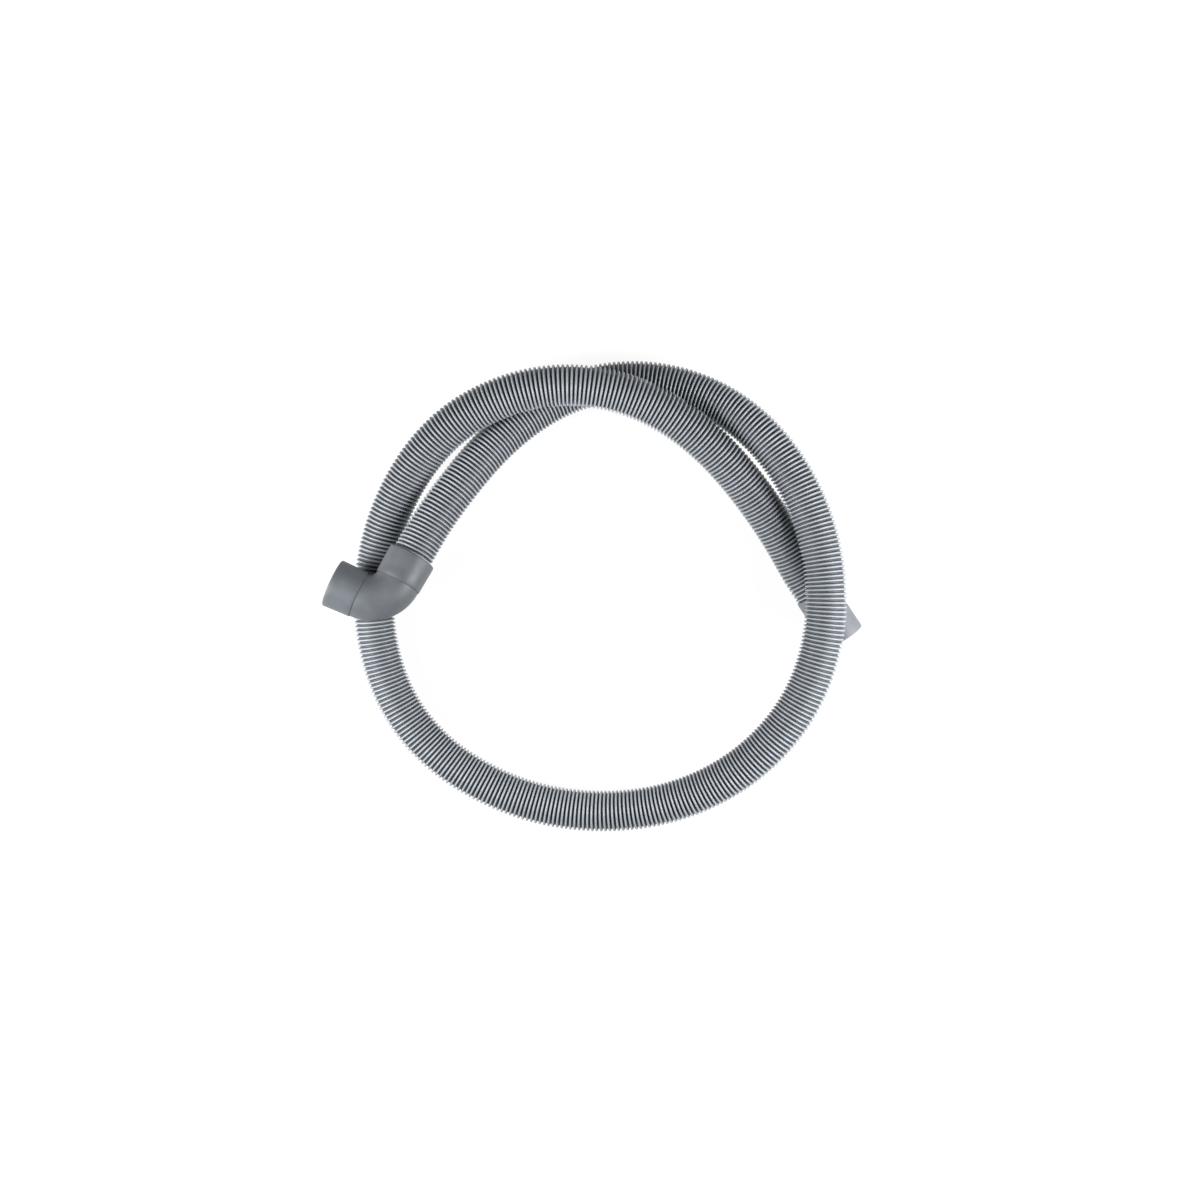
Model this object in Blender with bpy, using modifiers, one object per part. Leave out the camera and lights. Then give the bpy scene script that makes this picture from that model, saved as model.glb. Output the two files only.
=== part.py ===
"""Corrugated drain hose for a washing machine.

One ribbed plastic hose lies in one and a half loose, springy turns. A soft 90 degree elbow cuff
is fitted on its upper end and a short straight cuff on its lower end. The elbow lies on top of
the left side of the coil, and the straight cuff lies on the floor under the right side.

Units are metres and +Z is up. The floor is z = 0 and the origin is the middle of the coil on the
floor. Seen from above with +Y up the page, the view is that of the product laid on a table.
"""

import math

import bmesh
import bpy
import numpy as np
from mathutils import Matrix, Vector

# Hose: a blown polypropylene tube with a ring-shaped rib every few millimetres
HOSE_DIAMETER = 0.028  # over the crests of the ribs
RIB_DEPTH = 0.002  # from a crest to the bottom of a groove
RIB_PITCH = 0.0057  # the real hose has two fine ribs in this length
HOSE_WALL = 0.002  # from the bottom of a groove to the free bore

# Elbow cuff: soft rubber, with a hose socket, a bend and a socket for the drain spigot
ELBOW_TURN = math.radians(86.0)
ELBOW_BORE = 0.0215
ELBOW_WALL = 0.00465
ELBOW_INNER_RADIUS = 0.0037  # of the bend's inner corner
HOSE_SOCKET_LENGTH = 0.0205
HOSE_SOCKET_INSERT = 0.018  # how far the hose goes in
HOSE_SOCKET_WALL = 0.0021
SPIGOT_SOCKET_LENGTH = 0.0200
SPIGOT_SOCKET_WALL = 0.0039
SPIGOT_BORE = 0.0250
SPIGOT_DEPTH = 0.0180
SOCKET_TAPER = 0.0005  # a socket's radius is this much less at its bend end
STEP_CHAMFER = 0.0003  # on the small step from a socket down to the bend
SOCKET_OVERLAP = 0.0040  # length of the bend that is buried in each socket

# Straight cuff: soft rubber, barely wider than the hose
CUFF_LENGTH = 0.0370
CUFF_WALL = 0.0021
CUFF_INSERT = 0.0170  # how far the hose's plain end goes in
CUFF_BORE = 0.0210

# Shared details of the cuffs
LIP_HEIGHT = 0.0006  # of the sealing lips round a socket's bore
LIP_WIDTH = 0.0016
LIP_COUNT = 3
EDGE_RADIUS = 0.0011  # rounded outer edge of a mouth
LEAD_IN = 0.0008  # chamfer inside a mouth
CLEARANCE = 0.0003  # between two pieces that touch

# Sizes that follow from these
ROOT_RADIUS = HOSE_DIAMETER / 2 - RIB_DEPTH
HOSE_BORE_RADIUS = ROOT_RADIUS - HOSE_WALL
BEND_OUTER_RADIUS = ELBOW_BORE / 2 + ELBOW_WALL
BEND_LINE_RADIUS = BEND_OUTER_RADIUS + ELBOW_INNER_RADIUS

# Working values
CUT_PAST = 0.002  # how far a cutter runs past the face that it opens
WELD_DISTANCE = 0.00001

# Facets
HOSE_RESOLUTION = 3  # a curve's bevel resolution: 10 sides
BORE_RESOLUTION = 2  # 8 sides
BEND_RESOLUTION = 10  # 24 sides
TURN_STEPS = 24  # sides of a turned piece
BORE_STEP = 0.024  # distance between the rings of the hose's bore
BEND_STEPS = 8

# Middle line of the hose from the elbow's mouth to the straight cuff's mouth. The first strand
# runs down to the floor at the top of the coil, passes under the last strand there, climbs over
# the straight cuff on the right, comes down to the floor at the lower left, passes under the
# elbow, goes over the first strand and ends at the floor under the right side.
ROUTE = (
    (-0.1235, 0.0280, 0.0415),
    (-0.1105, 0.0510, 0.0360),
    (-0.0935, 0.0755, 0.0305),
    (-0.0720, 0.1015, 0.0235),
    (-0.0435, 0.1260, 0.0170),
    (-0.0065, 0.1435, 0.0140),
    (0.0340, 0.1470, 0.0170),
    (0.0735, 0.1365, 0.0235),
    (0.1065, 0.1140, 0.0315),
    (0.1310, 0.0830, 0.0372),
    (0.1470, 0.0460, 0.0414),
    (0.1535, 0.0060, 0.0438),
    (0.1500, -0.0340, 0.0434),
    (0.1365, -0.0710, 0.0406),
    (0.1125, -0.1030, 0.0360),
    (0.0800, -0.1275, 0.0295),
    (0.0415, -0.1425, 0.0235),
    (0.0005, -0.1470, 0.0190),
    (-0.0400, -0.1420, 0.0160),
    (-0.0790, -0.1270, 0.0145),
    (-0.1125, -0.1035, 0.0140),
    (-0.1370, -0.0710, 0.0145),
    (-0.1500, -0.0320, 0.0160),
    (-0.1520, 0.0090, 0.0190),
    (-0.1430, 0.0495, 0.0235),
    (-0.1245, 0.0860, 0.0295),
    (-0.0975, 0.1155, 0.0360),
    (-0.0625, 0.1345, 0.0410),
    (-0.0235, 0.1420, 0.0435),
    (0.0160, 0.1370, 0.0425),
    (0.0525, 0.1205, 0.0390),
    (0.0840, 0.0950, 0.0330),
    (0.1105, 0.0640, 0.0252),
    (0.1315, 0.0330, 0.0186),
    (0.1415, 0.0160, 0.0156),
    (0.1500, 0.0030, 0.0150),
)


def clear_scene():
    """Remove everything that the scene holds."""
    for thing in list(bpy.data.objects):
        bpy.data.objects.remove(thing, do_unlink=True)


def new_collection(name):
    collection = bpy.data.collections.new(name)
    bpy.context.scene.collection.children.link(collection)
    return collection


def plain_material(name, colour, roughness):
    """An opaque, non-metallic surface of one colour."""
    material = bpy.data.materials.new(name)
    material.use_nodes = True
    shader = material.node_tree.nodes["Principled BSDF"]
    shader.inputs["Base Color"].default_value = (*colour, 1.0)
    shader.inputs["Roughness"].default_value = roughness
    shader.inputs["Metallic"].default_value = 0.0
    return material


def spline_through(points, samples=6000):
    """Closely spaced points along the natural cubic spline through the given points."""
    points = np.array(points)
    gaps = np.linalg.norm(np.diff(points, axis=0), axis=1)
    knots = np.concatenate(([0.0], np.cumsum(gaps)))
    slopes = np.diff(points, axis=0) / gaps[:, None]
    system = np.eye(len(points))
    change = np.zeros_like(points)
    for i in range(1, len(points) - 1):
        system[i, i - 1] = gaps[i - 1]
        system[i, i] = 2 * (gaps[i - 1] + gaps[i])
        system[i, i + 1] = gaps[i]
        change[i] = 6 * (slopes[i] - slopes[i - 1])
    bends = np.linalg.solve(system, change)
    at = np.linspace(0.0, knots[-1], samples)
    span = np.clip(np.searchsorted(knots, at, side="right") - 1, 0, len(gaps) - 1)
    width = gaps[span][:, None]
    after = ((at - knots[span])[:, None]) / width
    before = 1.0 - after
    return (
        before * points[span]
        + after * points[span + 1]
        + width**2 / 6 * ((before**3 - before) * bends[span] + (after**3 - after) * bends[span + 1])
    )


def lengths_along(line):
    """Distance from the start to each point of a line."""
    steps = np.linalg.norm(np.diff(line, axis=0), axis=1)
    return np.concatenate(([0.0], np.cumsum(steps)))


def read_line(line, stations):
    """The points that lie at the given distances along a line."""
    along = lengths_along(line)
    return np.stack([np.interp(stations, along, line[:, axis]) for axis in range(3)], axis=1)


def direction(start, end):
    return (Vector(end) - Vector(start)).normalized()


def round_radius(radius, sides):
    """Corner radius of a polygon whose flats lie at the given radius."""
    return radius / math.cos(math.pi / sides)


def place(thing, origin, axis, side):
    """Put a piece's origin at a point, with its +Z along axis and its +X along side."""
    rotation = Matrix((side, axis.cross(side), axis)).transposed()
    thing.matrix_world = Matrix.Translation(origin) @ rotation.to_4x4()


def tube_mesh(name, centres, radii, resolution):
    """A closed tube along a line, made as a curve with a round bevel and then welded."""
    curve = bpy.data.curves.new(name, "CURVE")
    curve.dimensions = "3D"
    curve.twist_mode = "Z_UP"
    curve.bevel_depth = 1.0
    curve.bevel_resolution = resolution
    curve.use_fill_caps = True
    spline = curve.splines.new("POLY")
    spline.points.add(len(centres) - 1)
    for point, centre, radius in zip(spline.points, centres, radii):
        point.co = (*centre, 1.0)
        point.radius = radius
        point.tilt = math.pi / 2  # turns a corner of the section to the very bottom
    guide = bpy.data.objects.new(name, curve)
    bpy.context.scene.collection.objects.link(guide)
    evaluated = guide.evaluated_get(bpy.context.evaluated_depsgraph_get())
    mesh = bpy.data.meshes.new_from_object(evaluated)
    bpy.data.objects.remove(guide, do_unlink=True)
    bpy.data.curves.remove(curve)
    work = bmesh.new()
    work.from_mesh(mesh)
    bmesh.ops.remove_doubles(work, verts=work.verts, dist=WELD_DISTANCE)
    bmesh.ops.recalc_face_normals(work, faces=work.faces)
    work.to_mesh(mesh)
    work.free()
    mesh.name = name
    return mesh


def add_object(name, mesh, collection, material=None):
    thing = bpy.data.objects.new(name, mesh)
    collection.objects.link(thing)
    if material:
        mesh.materials.clear()
        mesh.materials.append(material)
    return thing


def turned_object(name, profile, collection, closed):
    """A piece turned about its Z axis. The profile lists (radius, height) down its outer side."""
    mesh = bpy.data.meshes.new(name)
    count = len(profile)
    edges = [(i, i + 1) for i in range(count - 1)]
    if closed:
        edges.append((count - 1, 0))
    mesh.from_pydata([(radius, 0.0, height) for radius, height in profile], edges, [])
    thing = bpy.data.objects.new(name, mesh)
    collection.objects.link(thing)
    screw = thing.modifiers.new("turn", "SCREW")
    screw.axis = "Z"
    screw.steps = TURN_STEPS
    screw.render_steps = TURN_STEPS
    screw.use_merge_vertices = True
    screw.merge_threshold = WELD_DISTANCE
    screw.use_smooth_shade = True
    return thing


def rounded_corner(radius, height, size, start_degrees, end_degrees, steps=3):
    """Points of a quarter round whose centre lies at (radius, height)."""
    angles = [
        math.radians(start_degrees + (end_degrees - start_degrees) * i / steps)
        for i in range(steps + 1)
    ]
    return [(radius + size * math.cos(a), height + size * math.sin(a)) for a in angles]


def lip_profile(bore_radius, bottom, top):
    """The wall of a bore from bottom to top, with evenly spaced sealing lips that stand inwards."""
    points = [(bore_radius, bottom)]
    for index in range(LIP_COUNT):
        middle = bottom + (top - bottom) * (index + 1) / (LIP_COUNT + 1)
        points.append((bore_radius, middle - LIP_WIDTH / 2))
        points.append((bore_radius - LIP_HEIGHT, middle))
        points.append((bore_radius, middle + LIP_WIDTH / 2))
    points.append((bore_radius, top))
    return points


def cutter(thing):
    """Mark an object as a tool that only shapes another one."""
    thing.hide_render = True
    thing.display_type = "WIRE"
    return thing


def combine(thing, other, operation):
    boolean = thing.modifiers.new(operation.lower(), "BOOLEAN")
    boolean.operation = operation
    boolean.solver = "EXACT"
    boolean.object = other


def smooth_sides(mesh, degrees):
    mesh.shade_smooth()
    mesh.set_sharp_from_angle(angle=math.radians(degrees))


def hose_line():
    """The hose's whole middle line: the route, with a straight stretch inside each cuff."""
    route = spline_through(ROUTE)
    first = np.array(direction(route[1], route[0]))
    last = np.array(direction(route[-2], route[-1]))
    inside_elbow = route[0] + HOSE_SOCKET_INSERT * first
    inside_cuff = route[-1] + CUFF_INSERT * last
    return np.vstack([inside_elbow, route, inside_cuff])


def make_hose(line, collection, tools, material):
    """The ribbed tube: ring-shaped ribs, a plain end in the straight cuff and a bore."""
    length = lengths_along(line)[-1]
    ribbed = length - CUFF_INSERT - RIB_PITCH / 2
    ribs = round(ribbed / RIB_PITCH)
    pitch = ribbed / ribs
    stations, radii = [0.0], [ROOT_RADIUS]
    for index in range(ribs):
        stations += [(index + 0.5) * pitch, (index + 1.0) * pitch]
        radii += [HOSE_DIAMETER / 2, ROOT_RADIUS]
    stations.append(length)
    radii.append(ROOT_RADIUS)
    mesh = tube_mesh("corrugated_hose", read_line(line, stations), radii, HOSE_RESOLUTION)
    hose = add_object("corrugated_hose", mesh, collection, material)
    smooth_sides(mesh, 50)

    rings = round(length / BORE_STEP)
    centres = read_line(line, np.linspace(0.0, length, rings + 1))
    start = centres[0] + CUT_PAST * np.array(direction(centres[1], centres[0]))
    end = centres[-1] + CUT_PAST * np.array(direction(centres[-2], centres[-1]))
    centres = np.vstack([start, centres[1:-1], end])
    bore_radii = [HOSE_BORE_RADIUS] * len(centres)
    bore_mesh = tube_mesh("hose_bore", centres, bore_radii, BORE_RESOLUTION)
    bore = cutter(add_object("hose_bore", bore_mesh, tools))
    combine(hose, bore, "DIFFERENCE")
    return hose


def bend_point(angle):
    """A point of the elbow's middle line, in the elbow's own frame."""
    return (
        BEND_LINE_RADIUS * (1 - math.cos(angle)),
        0.0,
        -BEND_LINE_RADIUS * math.sin(angle),
    )


def bend_line(before, after):
    """The elbow's bend, with a straight stretch of the given length before and after it."""
    out = Vector((math.sin(ELBOW_TURN), 0.0, -math.cos(ELBOW_TURN)))
    points = [(0.0, 0.0, before)]
    points += [bend_point(ELBOW_TURN * i / BEND_STEPS) for i in range(BEND_STEPS + 1)]
    points.append(tuple(Vector(points[-1]) + after * out))
    return points, out


def socket_profile(mouth_radius, length):
    """Outer form of a socket: a slight taper, a crisp step at the bend and a rounded mouth."""
    foot = mouth_radius - SOCKET_TAPER
    points = [(0.0, length), (mouth_radius - EDGE_RADIUS, length)]
    points += rounded_corner(
        mouth_radius - EDGE_RADIUS, length - EDGE_RADIUS, EDGE_RADIUS, 90, 0
    )[1:]
    points += [(foot, STEP_CHAMFER), (foot - STEP_CHAMFER, 0.0), (0.0, 0.0)]
    return points


def mouth_cutter_profile(bore_radius, length, depth, lips):
    """The hollow of a socket: its bore from the shoulder to the mouth, with a chamfer."""
    flare = LEAD_IN + CUT_PAST
    wall = [(bore_radius, length - depth), (bore_radius, length - LEAD_IN)]
    if lips:
        wall = lip_profile(bore_radius, length - depth, length - LEAD_IN)
    outside = [(0.0, length + CUT_PAST), (bore_radius + flare, length + CUT_PAST)]
    return outside + wall[::-1] + [(0.0, length - depth)]


def make_elbow(mouth, axis, collection, tools, material):
    """The elbow cuff, with its hose socket's mouth at a point and its axis out of that mouth."""
    side = Vector((0.0, 0.0, 1.0)).cross(axis).normalized()
    origin = Vector(mouth) - HOSE_SOCKET_LENGTH * axis
    socket_bore = round_radius(HOSE_DIAMETER / 2 + CLEARANCE, TURN_STEPS)
    socket_radius = socket_bore + HOSE_SOCKET_WALL

    line, out = bend_line(SOCKET_OVERLAP, SOCKET_OVERLAP)
    radii = [BEND_OUTER_RADIUS] * len(line)
    mesh = tube_mesh("elbow_cuff", line, radii, BEND_RESOLUTION)
    elbow = add_object("elbow_cuff", mesh, collection, material)
    place(elbow, origin, axis, side)
    frame = elbow.matrix_world.copy()
    outlet = Matrix.Translation(line[-1]) @ Matrix.Translation(-SOCKET_OVERLAP * out)
    outlet = outlet @ out.to_track_quat("Z", "Y").to_matrix().to_4x4()

    hose_socket = turned_object(
        "hose_socket", socket_profile(socket_radius, HOSE_SOCKET_LENGTH), tools, False
    )
    spigot_socket = turned_object(
        "spigot_socket",
        socket_profile(SPIGOT_BORE / 2 + SPIGOT_SOCKET_WALL, SPIGOT_SOCKET_LENGTH),
        tools,
        False,
    )
    through, _ = bend_line(HOSE_SOCKET_LENGTH + CUT_PAST, SPIGOT_SOCKET_LENGTH + CUT_PAST)
    bore_radii = [ELBOW_BORE / 2] * len(through)
    waterway = add_object(
        "elbow_waterway", tube_mesh("elbow_waterway", through, bore_radii, BEND_RESOLUTION), tools
    )
    hose_pocket = turned_object(
        "hose_pocket",
        mouth_cutter_profile(
            socket_bore, HOSE_SOCKET_LENGTH, HOSE_SOCKET_INSERT + CLEARANCE, lips=False
        ),
        tools,
        False,
    )
    spigot_pocket = turned_object(
        "spigot_pocket",
        mouth_cutter_profile(SPIGOT_BORE / 2, SPIGOT_SOCKET_LENGTH, SPIGOT_DEPTH, lips=True),
        tools,
        False,
    )
    hose_socket.matrix_world = frame
    hose_pocket.matrix_world = frame
    waterway.matrix_world = frame
    spigot_socket.matrix_world = frame @ outlet
    spigot_pocket.matrix_world = frame @ outlet
    for tool, operation in (
        (hose_socket, "UNION"),
        (spigot_socket, "UNION"),
        (waterway, "DIFFERENCE"),
        (hose_pocket, "DIFFERENCE"),
        (spigot_pocket, "DIFFERENCE"),
    ):
        combine(elbow, cutter(tool), operation)
    smooth_sides(mesh, 40)
    return elbow


def make_straight_cuff(mouth, axis, collection, material):
    """The straight cuff, turned as one tube from its hose end to its free mouth."""
    pocket = round_radius(ROOT_RADIUS + CLEARANCE, TURN_STEPS)
    outer = pocket + CUFF_WALL
    shoulder = CUFF_INSERT + CLEARANCE
    lips = lip_profile(CUFF_BORE / 2, shoulder, CUFF_LENGTH - LEAD_IN)
    profile = rounded_corner(outer - EDGE_RADIUS, CUFF_LENGTH - EDGE_RADIUS, EDGE_RADIUS, 90, 0)
    profile += rounded_corner(outer - EDGE_RADIUS, EDGE_RADIUS, EDGE_RADIUS, 0, -90)
    profile += [(pocket, 0.0), (pocket, shoulder)]
    profile += lips
    profile += [(CUFF_BORE / 2 + LEAD_IN, CUFF_LENGTH)]
    cuff = turned_object("straight_cuff", profile, collection, True)
    cuff.data.materials.append(material)
    side = Vector((0.0, 0.0, 1.0)).cross(axis).normalized()
    place(cuff, Vector(mouth), axis, side)
    return cuff


def build():
    clear_scene()
    parts = new_collection("corrugated_drain_hose")
    tools = new_collection("cutters")
    polypropylene = plain_material("grey_polypropylene", (0.34, 0.36, 0.38), 0.42)
    elbow_rubber = plain_material("dark_grey_rubber", (0.22, 0.23, 0.25), 0.55)
    cuff_rubber = plain_material("light_grey_rubber", (0.36, 0.37, 0.39), 0.55)

    line = hose_line()
    route_start, route_end = line[1], line[-2]
    make_hose(line, parts, tools, polypropylene)
    make_elbow(route_start, direction(line[0], line[1]), parts, tools, elbow_rubber)
    make_straight_cuff(route_end, direction(line[-2], line[-1]), parts, cuff_rubber)


build()
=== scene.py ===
"""Looks of a ribbed drain hose for a washing machine, with a rubber cuff on each end.

The hose lies in one and a half loose turns. A right-angled cuff sits on its upper end, on the left,
and a short straight cuff lies on the floor under the right side. Everything is in metres, +Z is up
and the floor is z = 0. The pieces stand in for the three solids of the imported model.
"""

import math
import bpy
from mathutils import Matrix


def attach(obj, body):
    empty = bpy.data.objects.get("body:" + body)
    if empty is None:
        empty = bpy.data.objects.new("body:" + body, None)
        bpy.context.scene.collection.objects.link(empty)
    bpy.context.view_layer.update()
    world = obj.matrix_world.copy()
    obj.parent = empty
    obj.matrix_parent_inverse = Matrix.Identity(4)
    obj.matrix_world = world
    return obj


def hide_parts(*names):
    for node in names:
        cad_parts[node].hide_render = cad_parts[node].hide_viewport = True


bl_info = {
    "name": "Drain Hose",
    "version": (1, 0, 0),
    "blender": (4, 5, 0),
    "location": "3D View > Sidebar > Drain Hose",
    "description": "Models a ribbed drain hose with rubber cuffs and a plain studio stage",
    "category": "Add Mesh",
}

import bmesh
import bpy
import numpy as np
from bpy.props import FloatProperty, IntProperty, PointerProperty, StringProperty
from bpy.types import Operator, Panel, PropertyGroup
from mathutils import Matrix, Vector

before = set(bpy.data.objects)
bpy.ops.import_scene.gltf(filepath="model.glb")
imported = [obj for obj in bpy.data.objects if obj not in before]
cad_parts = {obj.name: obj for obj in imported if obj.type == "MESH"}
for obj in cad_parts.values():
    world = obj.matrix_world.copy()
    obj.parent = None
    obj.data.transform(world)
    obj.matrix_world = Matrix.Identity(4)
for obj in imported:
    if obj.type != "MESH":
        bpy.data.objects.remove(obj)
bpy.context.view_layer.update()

# Middle line of the hose, from the elbow cuff's mouth to the straight cuff's, as in the solids
ROUTE = (
    (-0.1235, 0.0280, 0.0415),
    (-0.1105, 0.0510, 0.0360),
    (-0.0935, 0.0755, 0.0305),
    (-0.0720, 0.1015, 0.0235),
    (-0.0435, 0.1260, 0.0170),
    (-0.0065, 0.1435, 0.0140),
    (0.0340, 0.1470, 0.0170),
    (0.0735, 0.1365, 0.0235),
    (0.1065, 0.1140, 0.0315),
    (0.1310, 0.0830, 0.0372),
    (0.1470, 0.0460, 0.0414),
    (0.1535, 0.0060, 0.0438),
    (0.1500, -0.0340, 0.0434),
    (0.1365, -0.0710, 0.0406),
    (0.1125, -0.1030, 0.0360),
    (0.0800, -0.1275, 0.0295),
    (0.0415, -0.1425, 0.0235),
    (0.0005, -0.1470, 0.0190),
    (-0.0400, -0.1420, 0.0160),
    (-0.0790, -0.1270, 0.0145),
    (-0.1125, -0.1035, 0.0140),
    (-0.1370, -0.0710, 0.0145),
    (-0.1500, -0.0320, 0.0160),
    (-0.1520, 0.0090, 0.0190),
    (-0.1430, 0.0495, 0.0235),
    (-0.1245, 0.0860, 0.0295),
    (-0.0975, 0.1155, 0.0360),
    (-0.0625, 0.1345, 0.0410),
    (-0.0235, 0.1420, 0.0435),
    (0.0160, 0.1370, 0.0425),
    (0.0525, 0.1205, 0.0390),
    (0.0840, 0.0950, 0.0330),
    (0.1105, 0.0640, 0.0252),
    (0.1315, 0.0330, 0.0186),
    (0.1415, 0.0160, 0.0156),
    (0.1500, 0.0030, 0.0150),
)

MILLIMETRE = 0.001
CLEARANCE = 0.3 * MILLIMETRE  # between the hose and a cuff's pocket, as in the solids
MERGE_DISTANCE = 0.001 * MILLIMETRE  # points that are closer than this become one
SPLINE_SAMPLES = 6000  # points along the hose's route
CORNER_STEPS = 4  # rings on a rounded corner
SOCKET_RINGS = 6  # rings along a socket's wall
BEND_STEPS = 24  # rings round the elbow's bend
BORE_RINGS = 90  # rings along the hose's bore

# One side of a rib. First the depth in the middle of a groove's floor, and then the flank from the
# floor's edge up: distance from that edge in shares of the pitch, and depth in shares of the rib.
FLOOR_DEPTH = 0.96
FLANK = ((0.0, 0.93), (0.1, 0.42), (0.2, 0.08))

# The fine seam where a socket steps down to the bend: share of the step, and length of each ring.
# A share above 1 lies below the bend's own surface, which leaves a shallow groove.
SEAM = ((0.08, 0.00012), (0.45, 0.00018), (1.30, 0.00010), (1.30, 0.00012), (1.0, 0.00018))
SEAM_LENGTH = sum(advance for _, advance in SEAM)

CREASE_ANGLE = math.radians(35)  # a cuff's corners that are sharper than this stay crisp
RIB_CREASE_ANGLE = math.radians(80)  # the ribs are round, and only the hose's ends are crisp

# Typical values of the materials, matched to the photo
POLYPROPYLENE_IOR = 1.49
CREST_ROUGHNESS = 0.4
GROOVE_ROUGHNESS = 0.5
RUBBER_IOR = 1.5
ELBOW_ROUGHNESS = 0.52
CUFF_ROUGHNESS = 0.6
TABLE_ROUGHNESS = 0.9
WHITE = (1.0, 1.0, 1.0, 1.0)
CLOUD_RANGE = {"From Min": 0.3, "From Max": 0.7}  # where most values of a noise texture lie
MIX_FROM, MIX_TO, MIX_RESULT = 6, 7, 2  # a Mix node's colour sockets, whose names are repeated

# The softboxes at the two sides
SOFTBOXES = (("left_softbox", (-0.6, -0.08, 0.38)), ("right_softbox", (0.6, -0.08, 0.38)))
SOFTBOX_SIZE = (0.35, 0.5)

# The camera looks down from where the photographer's was, almost straight above the coil
CAMERA_PLACE = Vector((-0.00525, 0.0326, 1.1128))
CAMERA_AIM = Vector((0.0025, -0.0025, 0.0))
CAMERA_LENS = 47.96
CAMERA_SENSOR = 36.0


class HoseSettings(PropertyGroup):
    """Sizes and colours of the ribbed hose."""

    diameter: FloatProperty(
        name="Diameter", description="Over the crests of the ribs", default=0.028, unit="LENGTH"
    )
    rib_depth: FloatProperty(
        name="Rib depth", description="From a crest to a groove's floor", default=0.002,
        unit="LENGTH",
    )
    rib_pitch: FloatProperty(
        name="Rib pitch", description="From one crest to the next", default=0.00285, unit="LENGTH"
    )
    groove_share: FloatProperty(
        name="Groove share", description="Part of the pitch that a groove's floor takes",
        default=0.3,
    )
    bore: FloatProperty(
        name="Bore", description="Free diameter inside", default=0.020, unit="LENGTH"
    )
    elbow_insert: FloatProperty(
        name="Length in the elbow", description="Hidden in the elbow cuff", default=0.018,
        unit="LENGTH",
    )
    cuff_insert: FloatProperty(
        name="Length in the cuff", description="Hidden in the straight cuff", default=0.017,
        unit="LENGTH",
    )
    sides: IntProperty(name="Sides", description="Facets round the hose", default=24, min=12)
    colour: StringProperty(
        name="Colour", description="sRGB hex colour of the polypropylene", default="#8b9096"
    )
    # Painted shade: the colour that the grooves are darkened to, for the shade down in them
    groove_shade_colour: StringProperty(
        name="Groove colour", description="sRGB hex colour down in the grooves", default="#404347"
    )


class ElbowSettings(PropertyGroup):
    """Sizes and colour of the right-angled cuff."""

    turn: FloatProperty(
        name="Turn", description="Angle of the bend", default=math.radians(86), subtype="ANGLE"
    )
    bore: FloatProperty(
        name="Bore", description="Diameter of the waterway", default=0.0215, unit="LENGTH"
    )
    wall: FloatProperty(
        name="Wall", description="Wall of the bend", default=0.00465, unit="LENGTH"
    )
    inner_radius: FloatProperty(
        name="Inner radius", description="Of the bend's inner corner", default=0.0037, unit="LENGTH"
    )
    hose_socket_length: FloatProperty(
        name="Hose socket length", description="From the bend to the mouth", default=0.0205,
        unit="LENGTH",
    )
    hose_socket_wall: FloatProperty(
        name="Hose socket wall", description="Round the hose", default=0.0021, unit="LENGTH"
    )
    spigot_socket_length: FloatProperty(
        name="Spigot socket length", description="From the bend to the mouth", default=0.0200,
        unit="LENGTH",
    )
    spigot_socket_wall: FloatProperty(
        name="Spigot socket wall", description="Round the spigot", default=0.0039, unit="LENGTH"
    )
    spigot_bore: FloatProperty(
        name="Spigot bore", description="Diameter of the free mouth", default=0.0250, unit="LENGTH"
    )
    spigot_depth: FloatProperty(
        name="Spigot depth", description="How far a spigot goes in", default=0.0180, unit="LENGTH"
    )
    taper: FloatProperty(
        name="Taper", description="A socket's radius is this much less at the bend",
        default=0.0005, unit="LENGTH",
    )
    sides: IntProperty(name="Sides", description="Facets round the cuff", default=64, min=16)
    colour: StringProperty(
        name="Colour", description="sRGB hex colour of the rubber", default="#4f5358"
    )


class CuffSettings(PropertyGroup):
    """Sizes and colour of the straight cuff, and the details that both cuffs share."""

    length: FloatProperty(
        name="Length", description="Of the straight cuff", default=0.0370, unit="LENGTH"
    )
    wall: FloatProperty(
        name="Wall", description="Round the hose's plain end", default=0.0021, unit="LENGTH"
    )
    bore: FloatProperty(
        name="Bore", description="Diameter of the free mouth", default=0.0210, unit="LENGTH"
    )
    edge_radius: FloatProperty(
        name="Edge radius", description="Of a mouth's outer edge", default=0.0011, unit="LENGTH"
    )
    lead_in: FloatProperty(
        name="Lead-in", description="Chamfer inside a mouth", default=0.0008, unit="LENGTH"
    )
    lip_height: FloatProperty(
        name="Lip height", description="Of the sealing lips in a bore", default=0.0006,
        unit="LENGTH",
    )
    lip_width: FloatProperty(
        name="Lip width", description="Of the sealing lips in a bore", default=0.0016,
        unit="LENGTH",
    )
    lip_count: IntProperty(name="Lips", description="Sealing lips in a bore", default=3, min=0)
    colour: StringProperty(
        name="Colour", description="sRGB hex colour of the rubber", default="#66696e"
    )


class StageSettings(PropertyGroup):
    """Floor, lights and fill."""

    floor_size: FloatProperty(
        name="Floor size", description="Side of the square floor", default=8.0, unit="LENGTH"
    )
    side_light: FloatProperty(
        name="Side lights", description="Power of each side softbox", default=9.8, unit="POWER"
    )
    sky: FloatProperty(
        name="Fill", description="Strength of the even light all round", default=0.18
    )
    glow: FloatProperty(
        name="Floor glow", description="Light that the floor gives off of its own", default=0.88
    )
    colour: StringProperty(
        name="Floor colour", description="sRGB hex colour of the light table", default="#606060"
    )


def linear(hex_colour):
    """An sRGB hex colour as the linear RGBA that shaders take."""
    channels = [int(hex_colour[i : i + 2], 16) / 255 for i in (1, 3, 5)]
    rgb = [c / 12.92 if c <= 0.04045 else ((c + 0.055) / 1.055) ** 2.4 for c in channels]
    return (*rgb, 1.0)


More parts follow.
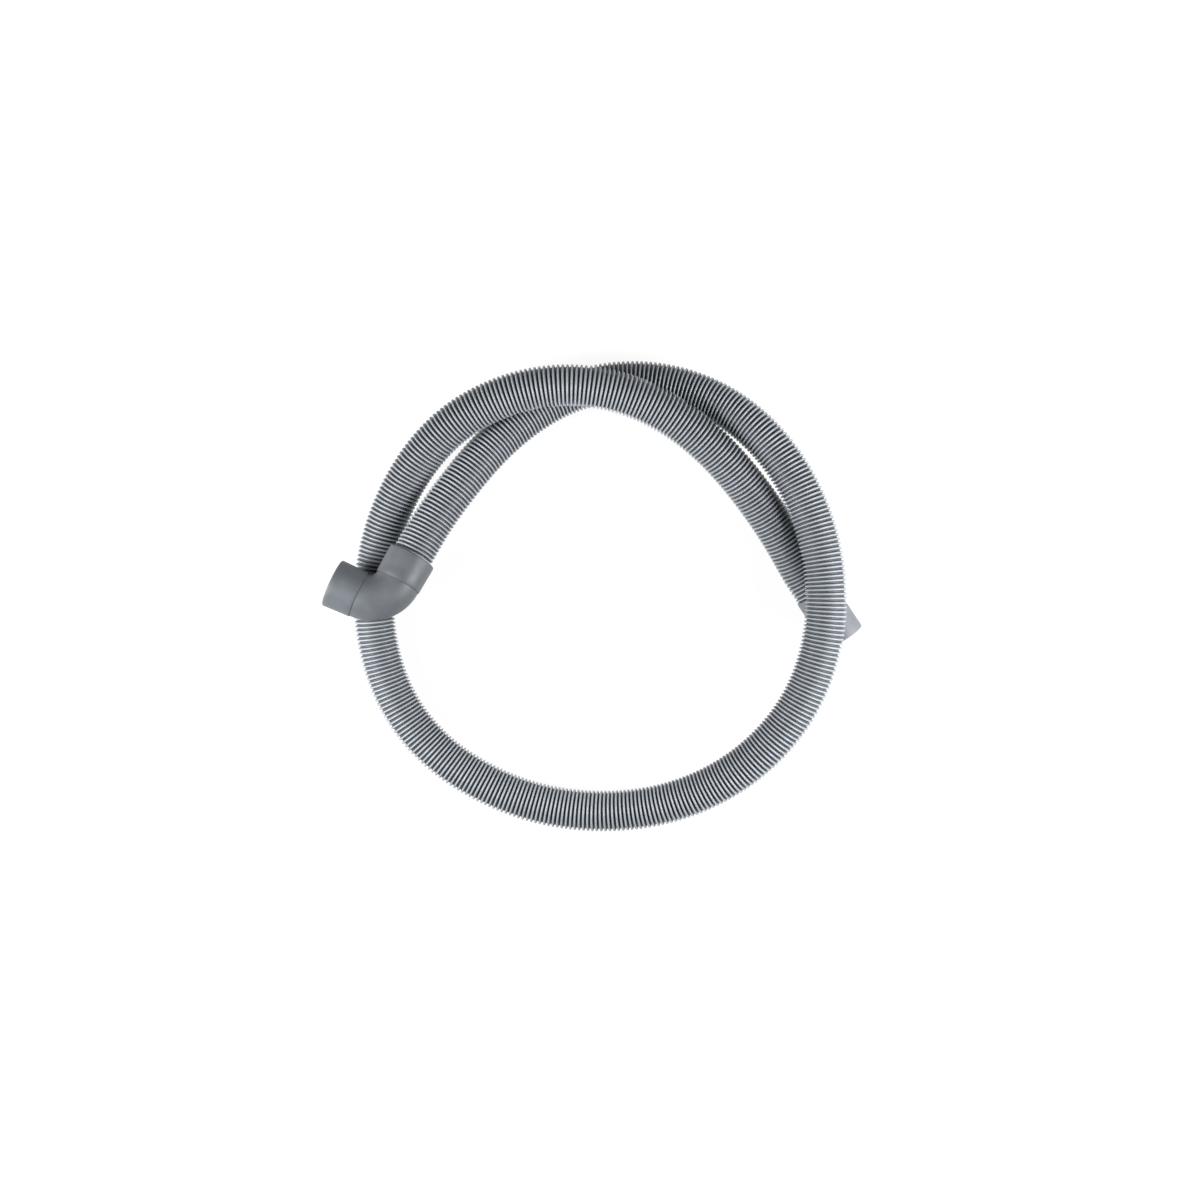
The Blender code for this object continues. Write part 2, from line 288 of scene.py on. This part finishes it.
def add_node(tree, kind, settings=None, inputs=None, links=None):
    """Add a node, with settings by attribute, and values and links by the name of its input."""
    node = tree.nodes.new(kind)
    for name, value in (settings or {}).items():
        setattr(node, name, value)
    for name, value in (inputs or {}).items():
        node.inputs[name].default_value = value
    for name, source in (links or {}).items():
        tree.links.new(source, node.inputs[name])
    return node


def new_material(name, colour, roughness):
    """A material with a Principled shader, and its node tree and shader."""
    material = bpy.data.materials.new(name)
    material.use_nodes = True
    shader = material.node_tree.nodes["Principled BSDF"]
    shader.inputs["Base Color"].default_value = colour
    shader.inputs["Roughness"].default_value = roughness
    material.diffuse_color = colour
    return material, material.node_tree, shader


def grain_bump(tree, coordinates, size, depth, under=None):
    """Bump from a fine noise whose grains are about size across and depth deep."""
    grain = add_node(
        tree,
        "ShaderNodeTexNoise",
        inputs={"Scale": 1.0 / size, "Detail": 3.0, "Roughness": 0.6},
        links={"Vector": coordinates},
    )
    links = {"Height": grain.outputs["Fac"]}
    if under:
        links["Normal"] = under.outputs["Normal"]
    return add_node(
        tree, "ShaderNodeBump", inputs={"Strength": 1.0, "Distance": depth}, links=links
    )


def ribbed_polypropylene(settings):
    """Blown polypropylene: a satin, slightly waxy plastic that keeps a bright line on each rib.

    The attribute groove is 0 on the crests and almost 1 on a groove's floor, where the plastic is
    duller and its colour is darkened as painted shade, for the shade down in the deep grooves.
    """
    crest = linear(settings.colour)
    material, tree, shader = new_material("blown_polypropylene", crest, CREST_ROUGHNESS)
    place = add_node(tree, "ShaderNodeTexCoord").outputs["Object"]
    groove = add_node(
        tree, "ShaderNodeAttribute", {"attribute_name": "groove", "attribute_type": "GEOMETRY"}
    )
    # Faint clouds where the blown wall is a little thicker or thinner, about 14 mm across
    cloud = add_node(
        tree,
        "ShaderNodeTexNoise",
        inputs={"Scale": 1.0 / (14 * MILLIMETRE), "Detail": 2.0, "Roughness": 0.5},
        links={"Vector": place},
    )
    shade = add_node(
        tree, "ShaderNodeMapRange",
        inputs={**CLOUD_RANGE, "To Min": 0.94, "To Max": 1.05},
        links={"Value": cloud.outputs["Fac"]},
    )
    # Painted shade: the colour darkens towards a groove's floor, for the shade down in the deep
    # grooves
    depth = add_node(
        tree, "ShaderNodeMapRange", {"interpolation_type": "SMOOTHSTEP"},
        inputs={"From Min": 0.05, "From Max": 0.7},
        links={"Value": groove.outputs["Fac"]},
    )
    groove_shade_tone = add_node(
        tree, "ShaderNodeMix", {"data_type": "RGBA"},
        links={"Factor": depth.outputs["Result"]},
    )
    groove_shade_tone.inputs[MIX_FROM].default_value = crest
    groove_shade_tone.inputs[MIX_TO].default_value = linear(settings.groove_shade_colour)
    varied = add_node(
        tree, "ShaderNodeVectorMath", {"operation": "SCALE"},
        links={"Vector": groove_shade_tone.outputs[MIX_RESULT], "Scale": shade.outputs["Result"]},
    )
    dull = add_node(
        tree, "ShaderNodeMapRange",
        inputs={"To Min": CREST_ROUGHNESS, "To Max": GROOVE_ROUGHNESS},
        links={"Value": groove.outputs["Fac"]},
    )
    # The real skin's grain is too fine to show, so it is drawn 1.2 mm across and very shallow
    bump = grain_bump(tree, place, 1.2 * MILLIMETRE, 0.006 * MILLIMETRE)
    tree.links.new(varied.outputs["Vector"], shader.inputs["Base Color"])
    tree.links.new(dull.outputs["Result"], shader.inputs["Roughness"])
    tree.links.new(bump.outputs["Normal"], shader.inputs["Normal"])
    shader.inputs["IOR"].default_value = POLYPROPYLENE_IOR
    return material


def moulded_rubber(name, hex_colour, roughness):
    """Moulded EPDM rubber: soft satin, slightly cloudy, with a fine grain from the mould."""
    base = linear(hex_colour)
    material, tree, shader = new_material(name, base, roughness)
    place = add_node(tree, "ShaderNodeTexCoord").outputs["Object"]
    # Faint clouds from the filler, about 9 mm across
    cloud = add_node(
        tree,
        "ShaderNodeTexNoise",
        inputs={"Scale": 1.0 / (9 * MILLIMETRE), "Detail": 3.0, "Roughness": 0.55},
        links={"Vector": place},
    )
    shade = add_node(
        tree, "ShaderNodeMapRange",
        inputs={**CLOUD_RANGE, "To Min": 0.93, "To Max": 1.07},
        links={"Value": cloud.outputs["Fac"]},
    )
    varied = add_node(
        tree, "ShaderNodeVectorMath", {"operation": "SCALE"},
        inputs={"Vector": base[:3]},
        links={"Scale": shade.outputs["Result"]},
    )
    polish = add_node(
        tree, "ShaderNodeMapRange",
        inputs={**CLOUD_RANGE, "To Min": roughness - 0.05, "To Max": roughness + 0.06},
        links={"Value": cloud.outputs["Fac"]},
    )
    # An uneven skin, and the mould's grain, which is too fine to show and is drawn 0.35 mm across
    skin = grain_bump(tree, place, 2.5 * MILLIMETRE, 0.05 * MILLIMETRE)
    bump = grain_bump(tree, place, 0.35 * MILLIMETRE, 0.015 * MILLIMETRE, under=skin)
    tree.links.new(varied.outputs["Vector"], shader.inputs["Base Color"])
    tree.links.new(polish.outputs["Result"], shader.inputs["Roughness"])
    tree.links.new(bump.outputs["Normal"], shader.inputs["Normal"])
    shader.inputs["IOR"].default_value = RUBBER_IOR
    return material


def light_table(settings):
    """Matt white acrylic of a light table, lit evenly from below, which softens the shadows."""
    base = linear(settings.colour)
    material, tree, shader = new_material("opal_acrylic", base, TABLE_ROUGHNESS)
    place = add_node(tree, "ShaderNodeTexCoord").outputs["Object"]
    # The matt face's grain is too fine to show, so it is drawn 1.2 mm across
    bump = grain_bump(tree, place, 1.2 * MILLIMETRE, 0.01 * MILLIMETRE)
    tree.links.new(bump.outputs["Normal"], shader.inputs["Normal"])
    shader.inputs["Emission Color"].default_value = WHITE
    shader.inputs["Emission Strength"].default_value = settings.glow
    return material


def spline_through(points):
    """Closely spaced points along the natural cubic spline through the given points."""
    points = np.array(points)
    gaps = np.linalg.norm(np.diff(points, axis=0), axis=1)
    knots = np.concatenate(([0.0], np.cumsum(gaps)))
    slopes = np.diff(points, axis=0) / gaps[:, None]
    system = np.eye(len(points))
    change = np.zeros_like(points)
    for i in range(1, len(points) - 1):
        system[i, i - 1] = gaps[i - 1]
        system[i, i] = 2 * (gaps[i - 1] + gaps[i])
        system[i, i + 1] = gaps[i]
        change[i] = 6 * (slopes[i] - slopes[i - 1])
    bends = np.linalg.solve(system, change)
    at = np.linspace(0.0, knots[-1], SPLINE_SAMPLES)
    span = np.clip(np.searchsorted(knots, at, side="right") - 1, 0, len(gaps) - 1)
    width = gaps[span][:, None]
    after = ((at - knots[span])[:, None]) / width
    before = 1.0 - after
    return (
        before * points[span]
        + after * points[span + 1]
        + width**2 / 6 * ((before**3 - before) * bends[span] + (after**3 - after) * bends[span + 1])
    )


def lengths_along(line):
    """Distance from the start to each point of a line."""
    steps = np.linalg.norm(np.diff(line, axis=0), axis=1)
    return np.concatenate(([0.0], np.cumsum(steps)))


def read_line(line, stations):
    """The points that lie at the given distances along a line."""
    along = lengths_along(line)
    return np.stack([np.interp(stations, along, line[:, axis]) for axis in range(3)], axis=1)


def direction(start, end):
    """Unit vector from one point to another."""
    return (Vector(end) - Vector(start)).normalized()


def hose_line(settings):
    """The hose's whole middle line, with a straight stretch inside each cuff."""
    route = spline_through(ROUTE)
    first = np.array(direction(route[1], route[0]))
    last = np.array(direction(route[-2], route[-1]))
    start = route[0] + settings.elbow_insert * first
    end = route[-1] + settings.cuff_insert * last
    return np.vstack([start, route, end])


def clear_selection():
    """Leave edit mode and deselect everything, so that an operator acts on one piece alone."""
    if bpy.context.object and bpy.context.object.mode != "OBJECT":
        bpy.ops.object.mode_set(mode="OBJECT")
    bpy.ops.object.select_all(action="DESELECT")


def activate(piece):
    """Select one piece alone and make it the active one."""
    clear_selection()
    piece.select_set(True)
    bpy.context.view_layer.objects.active = piece


def tube_along(name, centres, radii, sides):
    """An open tube along a line: a curve with a round bevel, made a mesh."""
    curve = bpy.data.curves.new(name, "CURVE")
    curve.dimensions = "3D"
    curve.twist_mode = "Z_UP"
    curve.bevel_depth = 1.0
    curve.bevel_resolution = sides // 2 - 2  # four sides, and two more for each step
    spline = curve.splines.new("POLY")
    spline.points.add(len(centres) - 1)
    spline.points.foreach_set("co", np.hstack([centres, np.ones((len(centres), 1))]).ravel())
    spline.points.foreach_set("radius", np.array(radii))
    tube = bpy.data.objects.new(name, curve)
    bpy.context.scene.collection.objects.link(tube)
    activate(tube)
    bpy.ops.object.convert(target="MESH")
    return bpy.context.object


def finish_piece(piece, material, node, crease=CREASE_ANGLE):
    """Close the mesh, shade it, give it its material and let it stand for its solid."""
    activate(piece)
    bpy.ops.object.mode_set(mode="EDIT")
    bpy.ops.mesh.select_all(action="SELECT")
    bpy.ops.mesh.remove_doubles(threshold=MERGE_DISTANCE)
    bpy.ops.mesh.normals_make_consistent(inside=False)
    bpy.ops.object.mode_set(mode="OBJECT")
    bpy.ops.object.shade_smooth_by_angle(angle=crease)
    piece.data.materials.clear()
    piece.data.materials.append(material)
    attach(piece, "root")
    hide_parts(node)


class WallPen:
    """Draws a round wall ring by ring: its open end is extruded along a heading and resized."""

    def __init__(self, name, radius, height, heading, sides):
        clear_selection()
        bpy.ops.mesh.primitive_circle_add(vertices=sides, radius=radius, location=(0, 0, 0))
        self.piece = bpy.context.object
        self.piece.name = name
        self.radius = radius
        self.centre = Vector((0, 0, height))
        self.heading = Vector(heading)
        bpy.ops.object.mode_set(mode="EDIT")
        bpy.ops.mesh.select_all(action="SELECT")
        bpy.ops.transform.translate(value=self.centre)

    def ring(self, radius, advance=0.0):
        """Extrude the open end by a distance along the heading, and to another radius."""
        step = self.heading * advance
        bpy.ops.mesh.extrude_region_move(TRANSFORM_OT_translate={"value": step})
        self.centre = self.centre + step
        scale = radius / self.radius
        bpy.ops.transform.resize(value=(scale, scale, scale), center_override=self.centre)
        self.radius = radius

    def wall(self, radius, advance, rings):
        """A straight or tapered stretch in several rings."""
        start = self.radius
        for step in range(1, rings + 1):
            self.ring(start + (radius - start) * step / rings, advance / rings)

    def corner(self, widen, advance, face_first):
        """A quarter round that starts flat on an end face, or else along the wall."""
        start, reached = self.radius, 0.0
        for step in range(1, CORNER_STEPS + 1):
            angle = math.pi / 2 * step / CORNER_STEPS
            across, along = math.sin(angle), 1 - math.cos(angle)
            if not face_first:
                across, along = along, across
            self.ring(start + widen * across, advance * (along - reached))
            reached = along

    def lipped_bore(self, depth, shared):
        """The bore of a mouth, drawn inwards from its lead-in, with sealing lips."""
        radius = self.radius
        spacing = depth / (shared.lip_count + 1)
        half = shared.lip_width / 2
        reached = 0.0
        for lip in range(shared.lip_count):
            middle = (lip + 1) * spacing
            self.ring(radius, reached - (middle - half))
            self.ring(radius - shared.lip_height, -half)
            self.ring(radius, -half)
            reached = middle + half
        self.ring(radius, reached - depth)

    def bend(self, centre, axis, angle, steps):
        """Spin the open end about a centre. The heading turns with it."""
        bpy.ops.mesh.spin(steps=steps, angle=-angle, center=centre, axis=axis)
        turn = Matrix.Rotation(angle, 3, axis)
        self.centre = centre + turn @ (self.centre - centre)
        self.heading = turn @ self.heading

    def close(self, frame_matrix):
        """Bridge the open end to the first ring, and set the piece in its place."""
        bpy.ops.mesh.select_all(action="DESELECT")
        bpy.ops.mesh.select_non_manifold(extend=False)
        bpy.ops.mesh.bridge_edge_loops()
        bpy.ops.object.mode_set(mode="OBJECT")
        self.piece.matrix_world = frame_matrix
        bpy.ops.object.transform_apply(location=True, rotation=True, scale=True)
        return self.piece


def frame_at(origin, axis):
    """Places local +Z along axis, with local +X level."""
    side = Vector((0, 0, 1)).cross(axis).normalized()
    rotation = Matrix((side, axis.cross(side), axis)).transposed()
    return Matrix.Translation(origin) @ rotation.to_4x4()


def bridge_end(tube, place, reach):
    """Join the tube's two open rims that lie near a point with a ring-shaped end face."""
    bpy.ops.mesh.select_all(action="DESELECT")
    mesh = bmesh.from_edit_mesh(tube.data)
    for edge in mesh.edges:
        if edge.is_boundary and (edge.verts[0].co - Vector(place)).length < reach:
            edge.select_set(True)
    bmesh.update_edit_mesh(tube.data)
    bpy.ops.mesh.bridge_edge_loops()


class DRAINHOSE_OT_add_hose(Operator):
    """Make the ribbed hose along its route"""

    bl_idname = "drainhose.add_hose"
    bl_label = "Ribbed Hose"

    def execute(self, context):
        settings = context.scene.drain_hose
        line = hose_line(settings)
        length = lengths_along(line)[-1]
        crest = settings.diameter / 2
        ribbed = length - settings.cuff_insert - CLEARANCE
        ribs = round(ribbed / settings.rib_pitch)
        pitch = ribbed / ribs

        # One rib: half a groove's floor, a steep flank, a narrow round crest, and the same again
        edge = settings.groove_share / 2
        rise = ((0.0, FLOOR_DEPTH), *((edge + share, depth) for share, depth in FLANK))
        rib = (*rise, (0.5, 0.0), *((1 - share, depth) for share, depth in rise[:0:-1]))
        stations, depths = [], []
        for index in range(ribs):
            for share, depth in rib:
                stations.append((index + share) * pitch)
                depths.append(depth)
        stations += [ribbed, length]
        depths += [1.0, 1.0]
        radii = [crest - settings.rib_depth * depth for depth in depths]

        hose = tube_along("ribbed_tube", read_line(line, stations), radii, settings.sides)
        groove = hose.data.attributes.new("groove", "FLOAT", "POINT")
        groove.data.foreach_set("value", np.repeat(depths, settings.sides).astype(np.float32))
        bore_stations = np.linspace(0.0, length, BORE_RINGS)
        bore_radii = [settings.bore / 2] * BORE_RINGS
        bore = tube_along("bore", read_line(line, bore_stations), bore_radii, settings.sides)
        activate(bore)
        hose.select_set(True)
        context.view_layer.objects.active = hose
        bpy.ops.object.join()
        bpy.ops.object.mode_set(mode="EDIT")
        for place in (line[0], line[-1]):
            bridge_end(hose, place, settings.diameter)
        bpy.ops.object.mode_set(mode="OBJECT")
        finish_piece(
            hose, ribbed_polypropylene(settings), "corrugated_hose", RIB_CREASE_ANGLE
        )

        return {"FINISHED"}


class DRAINHOSE_OT_add_elbow_cuff(Operator):
    """Mould the right-angled cuff: hose socket, bend and spigot socket, hollow all through"""

    bl_idname = "drainhose.add_elbow_cuff"
    bl_label = "Elbow Cuff"

    def execute(self, context):
        hose = context.scene.drain_hose
        elbow = context.scene.drain_hose_elbow
        shared = context.scene.drain_hose_cuff
        pocket = hose.diameter / 2 + CLEARANCE
        hose_mouth = pocket + elbow.hose_socket_wall
        spigot_mouth = elbow.spigot_bore / 2 + elbow.spigot_socket_wall
        bend = elbow.bore / 2 + elbow.wall
        centre = Vector((bend + elbow.inner_radius, 0, 0))
        axis = Vector((0, -1, 0))

        pen = WallPen(
            "rubber_elbow", hose_mouth - shared.edge_radius, elbow.hose_socket_length,
            (0, 0, -1), elbow.sides,
        )
        pen.corner(shared.edge_radius, shared.edge_radius, face_first=True)
        run = elbow.hose_socket_length - shared.edge_radius - SEAM_LENGTH
        pen.wall(hose_mouth - elbow.taper, run, SOCKET_RINGS)
        foot = pen.radius
        for share, advance in SEAM:
            pen.ring(foot + (bend - foot) * share, advance)
        pen.bend(centre, axis, elbow.turn, BEND_STEPS)
        foot = spigot_mouth - elbow.taper
        for share, advance in SEAM[::-1]:
            pen.ring(foot + (bend - foot) * share, advance)
        ending = SEAM[0][1]  # the seam's last ring meets the socket's own wall
        pen.ring(foot, ending)
        run = elbow.spigot_socket_length - shared.edge_radius - SEAM_LENGTH - ending
        pen.wall(spigot_mouth, run, SOCKET_RINGS)
        pen.corner(-shared.edge_radius, shared.edge_radius, face_first=False)

        # Back through the inside
        pen.ring(elbow.spigot_bore / 2 + shared.lead_in)
        pen.ring(elbow.spigot_bore / 2, -shared.lead_in)
        pen.lipped_bore(elbow.spigot_depth - shared.lead_in, shared)
        pen.ring(elbow.bore / 2)
        pen.ring(elbow.bore / 2, elbow.spigot_depth - elbow.spigot_socket_length)
        pen.bend(centre, axis, -elbow.turn, BEND_STEPS)
        shoulder = elbow.hose_socket_length - hose.elbow_insert - CLEARANCE
        pen.ring(elbow.bore / 2, -shoulder)
        pen.ring(pocket)
        pen.wall(pocket, shared.lead_in + shoulder - elbow.hose_socket_length, SOCKET_RINGS)
        pen.ring(pocket + shared.lead_in, -shared.lead_in)

        line = hose_line(hose)
        out_of_mouth = direction(line[0], line[1])
        origin = Vector(line[1]) - elbow.hose_socket_length * out_of_mouth
        piece = pen.close(frame_at(origin, out_of_mouth))
        rubber = moulded_rubber("dark_grey_epdm", elbow.colour, ELBOW_ROUGHNESS)
        finish_piece(piece, rubber, "elbow_cuff")
        return {"FINISHED"}


class DRAINHOSE_OT_add_straight_cuff(Operator):
    """Mould the short straight cuff at the hose's lower end"""

    bl_idname = "drainhose.add_straight_cuff"
    bl_label = "Straight Cuff"

    def execute(self, context):
        hose = context.scene.drain_hose
        cuff = context.scene.drain_hose_cuff
        pocket = hose.diameter / 2 - hose.rib_depth + CLEARANCE
        outer = pocket + cuff.wall
        pen = WallPen(
            "rubber_end_cuff", outer - cuff.edge_radius, 0.0, (0, 0, 1),
            context.scene.drain_hose_elbow.sides,
        )
        pen.corner(cuff.edge_radius, cuff.edge_radius, face_first=True)
        pen.wall(outer, cuff.length - 2 * cuff.edge_radius, SOCKET_RINGS)
        pen.corner(-cuff.edge_radius, cuff.edge_radius, face_first=False)
        pen.ring(cuff.bore / 2 + cuff.lead_in)
        pen.ring(cuff.bore / 2, -cuff.lead_in)
        shoulder = hose.cuff_insert + CLEARANCE
        pen.lipped_bore(cuff.length - cuff.lead_in - shoulder, cuff)
        pen.ring(pocket)
        pen.wall(pocket, -shoulder, SOCKET_RINGS)

        line = hose_line(hose)
        piece = pen.close(frame_at(Vector(line[-2]), direction(line[-2], line[-1])))
        rubber = moulded_rubber("light_grey_epdm", cuff.colour, CUFF_ROUGHNESS)
        finish_piece(piece, rubber, "straight_cuff")
        return {"FINISHED"}


class DRAINHOSE_OT_add_stage(Operator):
    """Set up the white floor, the soft lights at the sides and the camera overhead"""

    bl_idname = "drainhose.add_stage"
    bl_label = "Studio Stage"

    def execute(self, context):
        stage = context.scene.drain_hose_stage
        clear_selection()
        bpy.ops.mesh.primitive_plane_add(size=stage.floor_size, location=(0, 0, 0))
        floor = context.object
        floor.name = "light_table"
        floor.data.materials.append(light_table(stage))

        for name, place in SOFTBOXES:
            bpy.ops.object.light_add(type="AREA", location=place)
            light = context.object
            light.name = name
            light.data.shape = "RECTANGLE"
            light.data.size, light.data.size_y = SOFTBOX_SIZE
            light.data.energy = stage.side_light
            light.rotation_euler = (-Vector(place)).to_track_quat("-Z", "Y").to_euler()

        world = bpy.data.worlds.new("studio_fill")
        world.use_nodes = True
        background = world.node_tree.nodes["Background"]
        background.inputs["Color"].default_value = WHITE
        background.inputs["Strength"].default_value = stage.sky
        context.scene.world = world
        context.scene.view_settings.view_transform = "Standard"

        bpy.ops.object.camera_add(location=CAMERA_PLACE)
        camera = context.object
        back = (CAMERA_PLACE - CAMERA_AIM).normalized()  # +Y is up in the picture
        right = Vector((0, 1, 0)).cross(back).normalized()
        camera.rotation_euler = Matrix((right, back.cross(right), back)).transposed().to_euler()
        camera.data.lens = CAMERA_LENS
        camera.data.sensor_width = CAMERA_SENSOR
        context.scene.camera = camera
        clear_selection()
        return {"FINISHED"}


class VIEW3D_PT_drain_hose(Panel):
    """Sizes and colours of the drain hose, and a button for each piece"""

    bl_label = "Drain Hose"
    bl_space_type = "VIEW_3D"
    bl_region_type = "UI"
    bl_category = "Drain Hose"

    def draw(self, context):
        layout = self.layout
        for group, _ in SETTINGS:
            settings = getattr(context.scene, group)
            box = layout.box()
            for name in settings.bl_rna.properties.keys():
                if name not in ("rna_type", "name"):
                    box.prop(settings, name)
        for operator in OPERATORS:
            layout.operator(operator.bl_idname)


SETTINGS = (
    ("drain_hose", HoseSettings),
    ("drain_hose_elbow", ElbowSettings),
    ("drain_hose_cuff", CuffSettings),
    ("drain_hose_stage", StageSettings),
)
OPERATORS = (
    DRAINHOSE_OT_add_stage,
    DRAINHOSE_OT_add_elbow_cuff,
    DRAINHOSE_OT_add_straight_cuff,
    DRAINHOSE_OT_add_hose,
)


def register():
    for name, group in SETTINGS:
        bpy.utils.register_class(group)
        setattr(bpy.types.Scene, name, PointerProperty(type=group))
    for item in (*OPERATORS, VIEW3D_PT_drain_hose):
        bpy.utils.register_class(item)


def unregister():
    for item in (VIEW3D_PT_drain_hose, *reversed(OPERATORS)):
        bpy.utils.unregister_class(item)
    for name, group in reversed(SETTINGS):
        delattr(bpy.types.Scene, name)
        bpy.utils.unregister_class(group)


def main():
    register()
    bpy.ops.drainhose.add_stage()
    bpy.ops.drainhose.add_elbow_cuff()
    bpy.ops.drainhose.add_straight_cuff()
    bpy.ops.drainhose.add_hose()


if __name__ == "__main__":
    main()
